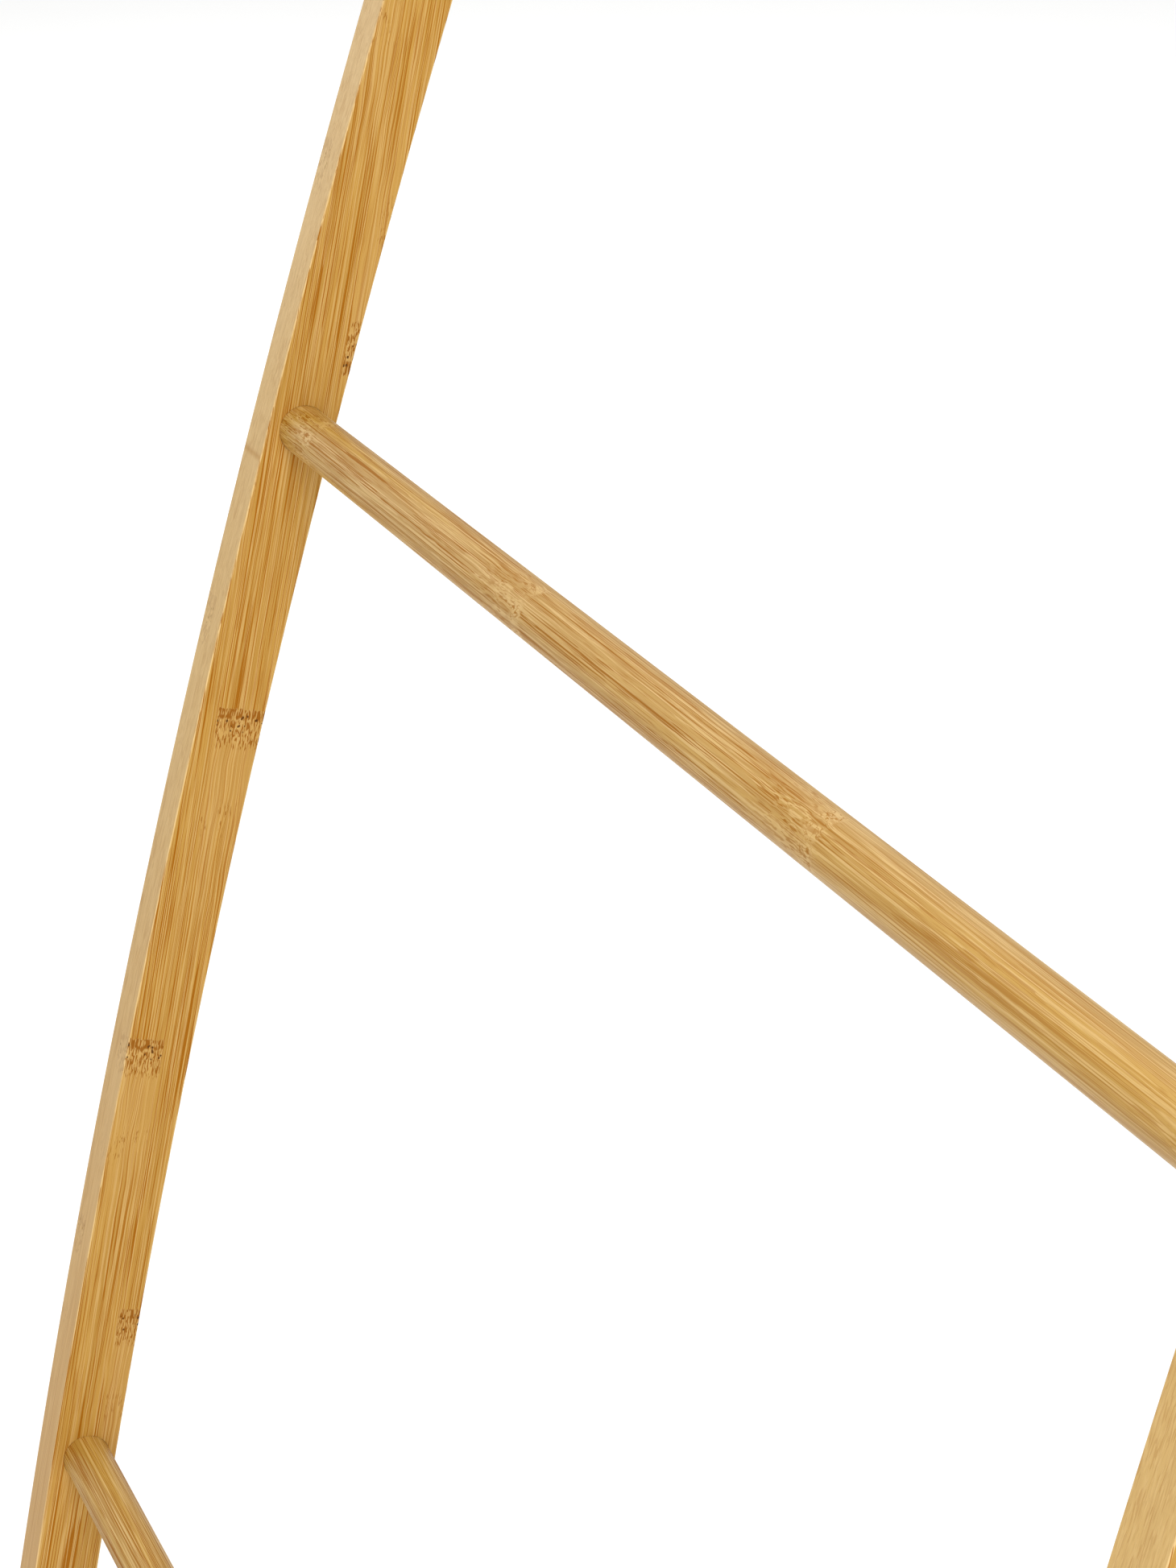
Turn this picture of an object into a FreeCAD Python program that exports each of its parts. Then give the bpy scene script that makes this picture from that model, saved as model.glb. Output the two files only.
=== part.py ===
import FreeCAD, Part

import math
import os

import Sketcher

# A leaning towel ladder: two side rails bent to one long arc, five round rungs let into
# their inner faces, a screw through each rail into each rung end, rubber pads under the
# feet and rubber bumpers where the rails lean on the wall.
#
# Row frame: +Z up from the floor, +Y towards the wall, +X to the right of a person who
# faces the ladder. The origin is on the floor, in the middle of the bounding box.
# Lean is measured from the vertical, backwards towards the wall.

DIMENSIONS = (
    ("overall_width", 600.0, "outside of one rail to the outside of the other"),
    ("rail_thickness", 16.7, "rail, across the ladder"),
    ("rail_depth", 20.8, "rail, front to back"),
    ("rail_radius", 3948.0, "bend of the rail's centre line"),
    ("edge_round", 0.5, "rounding of the rail's long edges"),
    ("top_round", 7.0, "rounding of the rail's front top corner"),
    ("wall_flat", 20.0, "height of the upright flat that meets the wall"),
    ("foot_length", 200.0, "rail below the lowest rung, along the arc"),
    ("head_length", 150.0, "rail above the highest rung, along the arc"),
    ("first_rung_lean", 1.37, "lean of the rail at the lowest rung, degrees"),
    ("rung_count", 5, "rungs"),
    ("rung_pitch", 342.0, "from one rung to the next, along the arc"),
    ("rung_diameter", 15.0, "round rung"),
    ("rung_setback", 0.8, "rung axis behind the rail's centre line"),
    ("rung_chamfer", 0.8, "chamfer on the rung's ends"),
    ("seat_depth", 8.0, "blind bore in the rail that takes the rung"),
    ("seat_gap", 0.15, "bore diameter less rung diameter"),
    ("screw_diameter", 4.0, "screw shank"),
    ("screw_length", 40.0, "screw, head included"),
    ("screw_tip", 4.0, "length of the screw's point"),
    ("screw_head", 9.0, "countersunk head, a right-angled cone"),
    ("screw_sink", 0.3, "screw head below the rail's face"),
    ("socket_flats", 3.0, "hexagon socket across flats"),
    ("socket_depth", 2.0, "hexagon socket"),
    ("shank_hole", 4.4, "clearance hole through the rail"),
    ("pad_width", 13.0, "rubber pad, across the rail"),
    ("pad_length", 17.0, "rubber pad, along the rail's end"),
    ("pad_thickness", 2.0, "rubber pad"),
    ("pad_corner", 2.5, "rubber pad's corner radius"),
    ("pad_edge", 0.5, "rounding of the rubber pad's outer edge"),
)

# Expressions that several pieces share. The rail's centre of curvature is at (CURVE_Y, CURVE_Z).
INSIDE_WIDTH = "(Dimensions.overall_width - 2 * Dimensions.rail_thickness)"
FRONT_RADIUS = "(Dimensions.rail_radius + Dimensions.rail_depth / 2)"
BACK_RADIUS = "(Dimensions.rail_radius - Dimensions.rail_depth / 2)"
RUNG_RADIUS = "(Dimensions.rail_radius - Dimensions.rung_setback)"
PITCH_ANGLE = "(Dimensions.rung_pitch * 180 / pi / Dimensions.rail_radius)"
FOOT_LEAN = "(Dimensions.first_rung_lean - Dimensions.foot_length * 180 / pi / Dimensions.rail_radius)"
LAST_RUNG_LEAN = f"(Dimensions.first_rung_lean + (Dimensions.rung_count - 1) * {PITCH_ANGLE})"
TOP_LEAN = f"({LAST_RUNG_LEAN} + Dimensions.head_length * 180 / pi / Dimensions.rail_radius)"
WALL_CUT = f"(Dimensions.wall_flat * sin({TOP_LEAN}) * cos({TOP_LEAN}))"
CURVE_Z = f"(Dimensions.pad_thickness - Dimensions.rail_radius * sin({FOOT_LEAN}))"
WALL_AHEAD = f"({BACK_RADIUS} * cos({TOP_LEAN}) + {WALL_CUT})"
CURVE_Y = f"(({FRONT_RADIUS} + {WALL_AHEAD} - Dimensions.pad_thickness) / 2)"
WALL_Y = f"({FRONT_RADIUS} - {CURVE_Y})"
WALL_FLAT_TOP = f"({BACK_RADIUS} * sin({TOP_LEAN}) + {WALL_CUT} * tan({TOP_LEAN}))"

# Sketcher's numbers for the sketch's own origin and for the points of a line, arc or circle.
ORIGIN = (-1, 1)
START, END, CENTRE = 1, 2, 3
TOLERANCE = 1e-4

# Where the sketch solver starts from: rough leans of the rail's two ends, of the wall flat's lower
# end and of the lowest rung in degrees, and rough sizes of small features in millimetres.
FOOT_ESTIMATE = -2
TOP_ESTIMATE = 24
FLAT_ESTIMATE = 23.7
RUNG_ESTIMATE = 1
SIZE_ESTIMATE = 10


def make_sheet(doc):
    """The spreadsheet that holds the driving dimensions, one alias per row."""
    sheet = doc.addObject("Spreadsheet::Sheet", "Dimensions")
    for row, (alias, value, meaning) in enumerate(DIMENSIONS, start=1):
        sheet.set(f"A{row}", alias)
        sheet.set(f"B{row}", str(value))
        sheet.set(f"C{row}", meaning)
        sheet.setAlias(f"B{row}", alias)
    doc.recompute()
    return sheet


def origin_feature(body, role):
    """One of a body's own origin planes or axes, by its role."""
    return next(feature for feature in body.Origin.OriginFeatures if feature.Role == role)


def add_sketch(body, name, plane, offset=None):
    """A sketch on one of the body's origin planes, moved along the plane's normal by an expression."""
    sketch = body.newObject("Sketcher::SketchObject", name)
    sketch.AttachmentSupport = [(origin_feature(body, plane), "")]
    sketch.MapMode = "FlatFace"
    if offset:
        sketch.setExpression("AttachmentOffset.Base.z", offset)
    return sketch


def constrain(sketch, kind, *points):
    """A geometric constraint."""
    sketch.addConstraint(Sketcher.Constraint(kind, *points))


def dimension(sketch, kind, name, *points, value, expression):
    """A named dimension. value is a first estimate, which the expression then replaces."""
    index = sketch.addConstraint(Sketcher.Constraint(kind, *points, value))
    sketch.renameConstraint(index, name)
    sketch.setExpression(f"Constraints.{name}", expression)


def bind(feature, **expressions):
    """Binds properties of a feature to expressions of the sheet's dimensions."""
    for name, expression in expressions.items():
        feature.setExpression(name, expression)


def place(body, x="0", y="0", z="0", axis=(1, 0, 0), turn=None):
    """Binds a body's place, and its turn about an axis, to expressions."""
    body.setExpression("Placement.Base.x", x)
    body.setExpression("Placement.Base.y", y)
    body.setExpression("Placement.Base.z", z)
    if turn:
        body.Placement.Rotation = FreeCAD.Rotation(FreeCAD.Vector(*axis), 1)
        body.setExpression("Placement.Rotation.Angle", turn)


def edge_names(shape, wanted):
    """The names of the edges for which wanted(edge) is true."""
    return [f"Edge{i}" for i, edge in enumerate(shape.Edges, start=1) if wanted(edge)]


def dress(body, kind, name, base, wanted, **expressions):
    """A Fillet or Chamfer on the chosen edges of the feature before it."""
    body.Document.recompute()
    feature = body.newObject(f"PartDesign::{kind}", name)
    feature.Base = (base, edge_names(base.Shape, wanted))
    bind(feature, **expressions)
    return feature


def lies_along(edge, direction):
    """Whether an edge is straight and parallel to a direction."""
    if not isinstance(edge.Curve, (Part.Line, Part.LineSegment)):
        return False
    return edge.tangentAt(edge.FirstParameter).cross(FreeCAD.Vector(*direction)).Length < TOLERANCE


def circle_sketch(body, name, plane, diameter, offset=None):
    """A sketch that holds one circle centred on its origin."""
    sketch = add_sketch(body, name, plane, offset)
    circle = sketch.addGeometry(Part.Circle(FreeCAD.Vector(), FreeCAD.Vector(0, 0, 1), SIZE_ESTIMATE))
    constrain(sketch, "Coincident", circle, CENTRE, *ORIGIN)
    dimension(sketch, "Diameter", "bore", circle, value=SIZE_ESTIMATE, expression=diameter)
    return sketch


def arc_point(radius, lean):
    """The point of an arc about the origin where the rail leans by so many degrees."""
    angle = math.radians(lean)
    return FreeCAD.Vector(-radius * math.cos(angle), radius * math.sin(angle), 0)


def arc_between(radius, low, high):
    """The stretch of an arc about the origin from one lean to another."""
    circle = Part.Circle(FreeCAD.Vector(), FreeCAD.Vector(0, 0, 1), radius)
    return Part.ArcOfCircle(circle, math.radians(180 - high), math.radians(180 - low))


def rail_outline(body, sheet):
    """The rail seen from the side, about its centre of curvature: two long arcs, a level foot,
    a square top end and the upright flat that cuts off the top's rear corner."""
    sketch = add_sketch(body, f"{body.Label}_outline", "YZ_Plane")
    front_radius = sheet.rail_radius + sheet.rail_depth / 2
    back_radius = sheet.rail_radius - sheet.rail_depth / 2
    flat_low = arc_point(back_radius, FLAT_ESTIMATE)
    flat_high = flat_low + FreeCAD.Vector(0, sheet.wall_flat, 0)
    front = sketch.addGeometry(arc_between(front_radius, FOOT_ESTIMATE, TOP_ESTIMATE))
    back = sketch.addGeometry(arc_between(back_radius, FOOT_ESTIMATE, FLAT_ESTIMATE))
    foot = sketch.addGeometry(
        Part.LineSegment(arc_point(back_radius, FOOT_ESTIMATE), arc_point(front_radius, FOOT_ESTIMATE))
    )
    top = sketch.addGeometry(Part.LineSegment(arc_point(front_radius, TOP_ESTIMATE), flat_high))
    flat = sketch.addGeometry(Part.LineSegment(flat_high, flat_low))
    constrain(sketch, "Coincident", front, CENTRE, *ORIGIN)
    constrain(sketch, "Coincident", back, CENTRE, *ORIGIN)
    constrain(sketch, "Coincident", foot, START, back, END)
    constrain(sketch, "Coincident", foot, END, front, END)
    constrain(sketch, "Coincident", top, START, front, START)
    constrain(sketch, "Coincident", flat, START, top, END)
    constrain(sketch, "Coincident", flat, END, back, START)
    constrain(sketch, "Horizontal", foot)
    constrain(sketch, "Vertical", flat)
    constrain(sketch, "PointOnObject", *ORIGIN, top)
    dimension(sketch, "Radius", "front", front, value=front_radius, expression=FRONT_RADIUS)
    dimension(sketch, "Radius", "back", back, value=back_radius, expression=BACK_RADIUS)
    dimension(
        sketch, "DistanceY", "foot_drop", foot, START, *ORIGIN,
        value=-arc_point(back_radius, FOOT_ESTIMATE).y,
        expression=f"-Dimensions.rail_radius * sin({FOOT_LEAN})",
    )
    dimension(
        sketch, "DistanceY", "top_rise", *ORIGIN, top, START,
        value=arc_point(front_radius, TOP_ESTIMATE).y,
        expression=f"{FRONT_RADIUS} * sin({TOP_LEAN})",
    )
    dimension(
        sketch, "DistanceX", "flat_ahead", flat, END, *ORIGIN,
        value=-flat_low.x,
        expression=WALL_AHEAD,
    )
    return sketch


def make_rail(doc, name, outward):
    """A side rail. Its inner face is its own plane X = 0, and outward is the side it lies on:
    -1 for the left rail and +1 for the right one."""
    sheet = doc.getObject("Dimensions")
    body = doc.addObject("PartDesign::Body", name)
    place(body, x=f"{outward} * {INSIDE_WIDTH} / 2", y=CURVE_Y, z=CURVE_Z)

    blank = body.newObject("PartDesign::Pad", f"{name}_blank")
    blank.Profile = rail_outline(body, sheet)
    blank.Reversed = outward < 0
    bind(blank, Length="Dimensions.rail_thickness")
    doc.recompute()

    crown = max(vertex.Z for vertex in blank.Shape.Vertexes) - TOLERANCE
    nose = dress(
        body, "Fillet", f"{name}_nose", blank,
        lambda edge: lies_along(edge, (1, 0, 0)) and edge.CenterOfMass.z > crown,
        Radius="Dimensions.top_round",
    )
    dress(body, "Fillet", f"{name}_eased", nose, lambda edge: True, Radius="Dimensions.edge_round")

    seat_size = "Dimensions.rung_diameter + Dimensions.seat_gap"
    seat = body.newObject("PartDesign::Pocket", f"{name}_seat")
    seat.Profile = rung_circle(body, f"{name}_seat_circle", seat_size)
    seat.Reversed = outward > 0
    bind(seat, Length="Dimensions.seat_depth")

    outer_face = f"{outward} * Dimensions.rail_thickness"
    centre = rung_circle(body, f"{name}_screw_circle", "Dimensions.shank_hole", outer_face)
    doc.recompute()
    hole = body.newObject("PartDesign::Hole", f"{name}_screw_hole")
    hole.Profile = centre
    hole.Reversed = outward < 0
    hole.DepthType = "Dimension"
    hole.DrillPoint = "Flat"
    hole.HoleCutType = "Countersink"
    hole.HoleCutCountersinkAngle = 90
    bind(
        hole,
        Depth="Dimensions.rail_thickness - Dimensions.seat_depth / 2",
        Diameter="Dimensions.shank_hole",
        HoleCutDiameter="Dimensions.screw_head + 2 * Dimensions.screw_sink",
    )

    ladder = body.newObject("PartDesign::PolarPattern", f"{name}_rung_pattern")
    ladder.Originals = [seat, hole]
    ladder.Axis = (origin_feature(body, "X_Axis"), [""])
    ladder.Reversed = True
    ladder.Mode = "Spacing"
    bind(ladder, Offset=PITCH_ANGLE, Occurrences="Dimensions.rung_count")
    body.Tip = ladder
    return body


def rung_circle(body, name, diameter, offset=None):
    """A circle round the axis of the lowest rung, placed from the rail's centre of curvature."""
    sketch = add_sketch(body, name, "YZ_Plane", offset)
    radius = body.Document.getObject("Dimensions").rail_radius
    centre = arc_point(radius, RUNG_ESTIMATE)
    circle = sketch.addGeometry(Part.Circle(centre, FreeCAD.Vector(0, 0, 1), SIZE_ESTIMATE))
    dimension(sketch, "Diameter", "bore", circle, value=SIZE_ESTIMATE, expression=diameter)
    dimension(
        sketch, "DistanceX", "ahead", circle, CENTRE, *ORIGIN,
        value=-centre.x,
        expression=f"{RUNG_RADIUS} * cos(Dimensions.first_rung_lean)",
    )
    dimension(
        sketch, "DistanceY", "above", *ORIGIN, circle, CENTRE,
        value=centre.y,
        expression=f"{RUNG_RADIUS} * sin(Dimensions.first_rung_lean)",
    )
    return sketch


def make_rung(doc, number):
    """A round rung between the rails, its ends chamfered and drilled for the screws."""
    name = f"rung_{number}"
    body = doc.addObject("PartDesign::Body", name)
    lean = f"(Dimensions.first_rung_lean + {number - 1} * {PITCH_ANGLE})"
    place(
        body,
        y=f"{CURVE_Y} - {RUNG_RADIUS} * cos({lean})",
        z=f"{CURVE_Z} + {RUNG_RADIUS} * sin({lean})",
        turn=f"-{lean}",
    )
    length = f"({INSIDE_WIDTH} + 2 * Dimensions.seat_depth)"

    dowel = body.newObject("PartDesign::Pad", f"{name}_dowel")
    dowel.Profile = circle_sketch(body, f"{name}_section", "YZ_Plane", "Dimensions.rung_diameter")
    dowel.Midplane = True
    bind(dowel, Length=length)
    ends = dress(
        body, "Chamfer", f"{name}_ends", dowel,
        lambda edge: isinstance(edge.Curve, Part.Circle),
        Size="Dimensions.rung_chamfer",
    )
    pilot_size = "Dimensions.screw_diameter"
    centre = circle_sketch(body, f"{name}_end_circle", "YZ_Plane", pilot_size, f"{length} / 2")
    doc.recompute()
    pilot = body.newObject("PartDesign::Hole", f"{name}_pilot")
    pilot.Profile = centre
    pilot.DepthType = "Dimension"
    pilot.DrillPoint = "Angled"
    bind(
        pilot,
        Depth="Dimensions.screw_length + Dimensions.seat_depth - Dimensions.rail_thickness",
        Diameter=pilot_size,
    )
    both = body.newObject("PartDesign::Mirrored", f"{name}_pilots")
    both.Originals = [pilot]
    both.MirrorPlane = (origin_feature(body, "YZ_Plane"), [""])
    body.Tip = both
    return body


def screw_outline(body, sheet):
    """Half of the screw's section: a flat head with a right-angled cone, a shank and a point."""
    sketch = add_sketch(body, f"{body.Label}_outline", "XZ_Plane")
    head, shank = sheet.screw_head / 2, sheet.screw_diameter / 2
    cone_end = shank - head
    point_start = sheet.screw_tip - sheet.screw_length
    corners = [
        FreeCAD.Vector(0, 0, 0),
        FreeCAD.Vector(head, 0, 0),
        FreeCAD.Vector(shank, cone_end, 0),
        FreeCAD.Vector(shank, point_start, 0),
        FreeCAD.Vector(0, -sheet.screw_length, 0),
    ]
    lines = [
        sketch.addGeometry(Part.LineSegment(corner, corners[(i + 1) % len(corners)]))
        for i, corner in enumerate(corners)
    ]
    face, cone, side, point, axis = lines
    for i, line in enumerate(lines):
        constrain(sketch, "Coincident", line, END, lines[(i + 1) % len(lines)], START)
    constrain(sketch, "Coincident", face, START, *ORIGIN)
    constrain(sketch, "Horizontal", face)
    constrain(sketch, "Vertical", side)
    constrain(sketch, "Vertical", axis)
    head_size = "Dimensions.screw_head / 2"
    shank_size = "Dimensions.screw_diameter / 2"
    dimension(sketch, "DistanceX", "head", *ORIGIN, face, END, value=head, expression=head_size)
    dimension(sketch, "DistanceX", "shank", *ORIGIN, side, START, value=shank, expression=shank_size)
    dimension(
        sketch, "DistanceY", "cone_depth", cone, END, *ORIGIN,
        value=-cone_end, expression=f"{head_size} - {shank_size}",
    )
    dimension(
        sketch, "DistanceY", "point_length", axis, START, point, START,
        value=sheet.screw_tip, expression="Dimensions.screw_tip",
    )
    dimension(
        sketch, "DistanceY", "whole_length", axis, START, *ORIGIN,
        value=sheet.screw_length, expression="Dimensions.screw_length",
    )
    return sketch


def make_screw(doc, side, outward, number):
    """A countersunk screw through a rail into a rung's end. Its own +Z comes out of its head."""
    body = doc.addObject("PartDesign::Body", f"screw_{side}_{number}")
    lean = f"(Dimensions.first_rung_lean + {number - 1} * {PITCH_ANGLE})"
    place(
        body,
        x=f"{outward} * (Dimensions.overall_width / 2 - Dimensions.screw_sink)",
        y=f"{CURVE_Y} - {RUNG_RADIUS} * cos({lean})",
        z=f"{CURVE_Z} + {RUNG_RADIUS} * sin({lean})",
        axis=(0, 1, 0),
        turn=f"{outward} * 90",
    )
    turned = body.newObject("PartDesign::Revolution", f"{body.Label}_turned")
    turned.Profile = screw_outline(body, doc.getObject("Dimensions"))
    turned.ReferenceAxis = (origin_feature(body, "Z_Axis"), [""])
    turned.Angle = 360
    doc.recompute()

    socket = body.newObject("PartDesign::SubtractivePrism", f"{body.Label}_socket")
    socket.Polygon = 6
    socket.AttachmentSupport = [(origin_feature(body, "XY_Plane"), "")]
    socket.MapMode = "FlatFace"
    socket.setExpression("AttachmentOffset.Base.z", "-Dimensions.socket_depth")
    bind(socket, Circumradius="Dimensions.socket_flats / sqrt(3)", Height="Dimensions.socket_depth")
    return body


def make_pad(doc, name, x, y, z, turn):
    """A stick-on rubber pad: its own +Z points away from the wood that it is stuck to."""
    body = doc.addObject("PartDesign::Body", name)
    place(body, x=x, y=y, z=z, turn=turn)
    sketch = add_sketch(body, f"{name}_outline", "XY_Plane")
    half = SIZE_ESTIMATE / 2
    signs = ((-1, -1), (1, -1), (1, 1), (-1, 1))
    corners = [FreeCAD.Vector(across * half, along * half, 0) for across, along in signs]
    sides = [
        sketch.addGeometry(Part.LineSegment(corner, corners[(i + 1) % len(corners)]))
        for i, corner in enumerate(corners)
    ]
    for i, side in enumerate(sides):
        constrain(sketch, "Coincident", side, END, sides[(i + 1) % len(sides)], START)
        constrain(sketch, "Vertical" if i % 2 else "Horizontal", side)
    constrain(sketch, "Symmetric", sides[0], START, sides[2], START, *ORIGIN)
    dimension(
        sketch, "DistanceX", "width", sides[0], START, sides[0], END,
        value=SIZE_ESTIMATE, expression="Dimensions.pad_width",
    )
    dimension(
        sketch, "DistanceY", "length", sides[1], START, sides[1], END,
        value=SIZE_ESTIMATE, expression="Dimensions.pad_length",
    )

    slab = body.newObject("PartDesign::Pad", f"{name}_slab")
    slab.Profile = sketch
    bind(slab, Length="Dimensions.pad_thickness")
    rounded = dress(
        body, "Fillet", f"{name}_corners", slab,
        lambda edge: lies_along(edge, (0, 0, 1)),
        Radius="Dimensions.pad_corner",
    )
    doc.recompute()
    face = max(vertex.Z for vertex in rounded.Shape.Vertexes) - TOLERANCE
    dress(
        body, "Fillet", f"{name}_edge", rounded,
        lambda edge: edge.CenterOfMass.z > face,
        Radius="Dimensions.pad_edge",
    )
    return body


def make_ladder(doc):
    """Every piece of the ladder, each in a body of its own."""
    sheet = make_sheet(doc)
    pieces = []
    for side, outward in (("left", -1), ("right", 1)):
        pieces.append(make_rail(doc, f"{side}_rail", outward))
        rail_middle = f"{outward} * (Dimensions.overall_width - Dimensions.rail_thickness) / 2"
        pieces.append(
            make_pad(
                doc, f"foot_pad_{side}",
                x=rail_middle,
                y=f"{CURVE_Y} - Dimensions.rail_radius * cos({FOOT_LEAN})",
                z="Dimensions.pad_thickness",
                turn="180",
            )
        )
        pieces.append(
            make_pad(
                doc, f"wall_pad_{side}",
                x=rail_middle,
                y=f"{WALL_Y} - Dimensions.pad_thickness",
                z=f"{CURVE_Z} + {WALL_FLAT_TOP} - Dimensions.wall_flat / 2",
                turn="-90",
            )
        )
    for number in range(1, int(sheet.rung_count) + 1):
        pieces.append(make_rung(doc, number))
        for side, outward in (("left", -1), ("right", 1)):
            pieces.append(make_screw(doc, side, outward, number))
    doc.recompute()
    return pieces


def check(doc, pieces):
    """Stops with a message if any object failed or any piece isn't one sound solid."""
    failed = [o.Label for o in doc.Objects if {"Invalid", "Error"} & set(o.State)]
    if failed:
        raise SystemExit(f"failed to recompute: {failed}")
    for piece in pieces:
        shape = piece.Shape
        if shape.isNull() or not shape.isValid() or len(shape.Solids) != 1:
            raise SystemExit(f"{piece.Label} isn't one sound solid")
        print(f"{piece.Label:16s} {shape.Volume:10.1f} mm3  {shape.optimalBoundingBox(False)}")


def main():
    doc = FreeCAD.newDocument("TowelLadder")
    pieces = make_ladder(doc)
    check(doc, pieces)
    os.makedirs("parts", exist_ok=True)
    for piece in pieces:
        piece.Shape.exportStep(f"parts/{piece.Label}.step")


main()
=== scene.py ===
import math

import bpy
import numpy as np
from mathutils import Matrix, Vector


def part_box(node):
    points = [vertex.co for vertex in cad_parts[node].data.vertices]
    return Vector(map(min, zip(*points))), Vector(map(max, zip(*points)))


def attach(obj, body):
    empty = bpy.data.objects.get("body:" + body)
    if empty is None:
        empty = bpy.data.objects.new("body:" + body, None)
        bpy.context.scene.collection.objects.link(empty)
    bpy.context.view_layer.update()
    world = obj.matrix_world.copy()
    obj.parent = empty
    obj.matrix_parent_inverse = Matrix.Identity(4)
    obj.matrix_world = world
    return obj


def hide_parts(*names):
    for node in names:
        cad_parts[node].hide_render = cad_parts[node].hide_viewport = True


# A leaning towel ladder of laminated bamboo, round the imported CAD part. Everything is in metres in
# the row frame: +Z up from the floor, +Y towards the wall, +X to the right of a person who faces
# the ladder. Lean is measured from the vertical, backwards towards the wall.

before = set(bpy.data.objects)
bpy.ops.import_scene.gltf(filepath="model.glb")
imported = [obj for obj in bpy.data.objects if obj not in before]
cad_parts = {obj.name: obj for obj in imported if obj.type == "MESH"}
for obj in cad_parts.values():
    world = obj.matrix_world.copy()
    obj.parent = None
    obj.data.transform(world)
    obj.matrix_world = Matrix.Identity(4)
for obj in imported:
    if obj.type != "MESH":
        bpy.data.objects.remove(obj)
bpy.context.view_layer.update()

MM = 0.001

# The design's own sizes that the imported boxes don't give.
HEAD_LENGTH = 150 * MM  # rail above the highest rung, along the arc
TOP_ROUND = 7 * MM  # rounding of the rail's front top corner
EDGE_ROUND = 0.5 * MM  # rounding of the rail's edges
CORNER_ROUND = 0.6 * MM  # rounding of the outline's sharp corners
SEAT_DEPTH = 8 * MM  # blind bore in the rail that takes the rung
SEAT_GAP = 0.15 * MM  # bore diameter less rung diameter
RUNG_CHAMFER = 0.8 * MM
SHANK_HOLE = 4.4 * MM  # clearance hole through the rail
SCREW_SHANK = 4 * MM
HEAD_HOLE = 9.6 * MM  # countersink at the rail's outer face
PILOT_DEPTH = 31.3 * MM  # screw hole in each end of a rung
DRILL_POINT = math.radians(118)  # angle of the cone that the drill leaves at its bottom

# How finely the meshes follow the real shape.
RAIL_STATIONS = 240
NOSE_STEPS = 12
CORNER_STEPS = 4
EASING_STEPS = 4
BORE_SEGMENTS = 72
RUNG_SEGMENTS = 96
RUNG_STATIONS = 48
SHARP = math.radians(35)  # an edge that turns more than this isn't shaded smooth

RUNGS = sorted(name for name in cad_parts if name.startswith("rung_"))


# ---- What the frame says ----------------------------------------------------------------------


def corners(node):
    """The two corners of a CAD node's box as arrays."""
    low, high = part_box(node)
    return np.array(low), np.array(high)


def side_view(node):
    """Every point of a CAD node's mesh as the side view shows it: (y, z)."""
    return np.array([vertex.co[1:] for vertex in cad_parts[node].data.vertices])


def axis_of(rung):
    """Where a rung's axis crosses the ladder's side view: (y, z)."""
    low, high = corners(rung)
    return (low + high)[1:] / 2


def radius_of(rung):
    return np.linalg.norm(side_view(rung) - axis_of(rung), axis=1).max()


def circle_through(a, b, c):
    """The centre of the circle through three points of the side view."""
    rows = np.array([b - a, c - a])
    return np.linalg.solve(rows, (rows * (np.array([b + a, c + a]) / 2)).sum(axis=1))


def rail_measures(node):
    """A rail's faces, and the arcs that it lies between."""
    low, high = corners(node)
    radii = np.linalg.norm(side_view(node) - CENTRE, axis=1)
    inner, outer = sorted((low[0], high[0]), key=abs)
    return {
        "inner": inner,
        "outer": outer,
        "front": radii.max(),
        "back": radii.min(),
        "foot": low[2],
        "wall": high[1],
    }


CENTRE = circle_through(*(axis_of(RUNGS[i]) for i in (0, len(RUNGS) // 2, -1)))


def lean_of(point):
    """Lean of the line from the centre of curvature to a point of the side view, in radians."""
    across, up = point - CENTRE
    return math.atan2(up, -across)


def on_arc(radius, lean):
    """The point of the side view at that radius and lean."""
    return CENTRE + radius * np.array([-math.cos(lean), math.sin(lean)])


def lean_at_height(radius, height):
    return math.asin((height - CENTRE[1]) / radius)


# ---- Mesh helpers -----------------------------------------------------------------------------


def piece(name, vertices, faces):
    """A mesh object with smooth shading between its sharp edges."""
    mesh = bpy.data.meshes.new(name)
    mesh.from_pydata([tuple(v) for v in vertices], [], faces)
    mesh.validate()
    made = bpy.data.objects.new(name, mesh)
    bpy.context.scene.collection.objects.link(made)
    shade(made)
    return made


def shade(made):
    made.data.polygons.foreach_set("use_smooth", [True] * len(made.data.polygons))
    made.data.set_sharp_from_angle(angle=SHARP)


def weigh_normals(made):
    """Large flat faces keep their own normal, so only the eased edges look round."""
    modifier = made.modifiers.new("flat_faces", "WEIGHTED_NORMAL")
    modifier.keep_sharp = True


def rounded_corner(before, corner, after, radius, steps):
    """Points of an arc that rounds a corner of an outline."""
    back, ahead = before - corner, after - corner
    back, ahead = back / np.linalg.norm(back), ahead / np.linalg.norm(ahead)
    half = math.acos(np.clip(back @ ahead, -1, 1)) / 2
    middle = (back + ahead) / np.linalg.norm(back + ahead)
    centre = corner + middle * radius / math.sin(half)
    start = corner + back * radius / math.tan(half) - centre
    end = corner + ahead * radius / math.tan(half) - centre
    turn = math.pi - 2 * half
    return [
        centre + (start * math.sin(turn * (1 - s)) + end * math.sin(turn * s)) / math.sin(turn)
        for s in np.linspace(0, 1, steps + 1)
    ]


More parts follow.
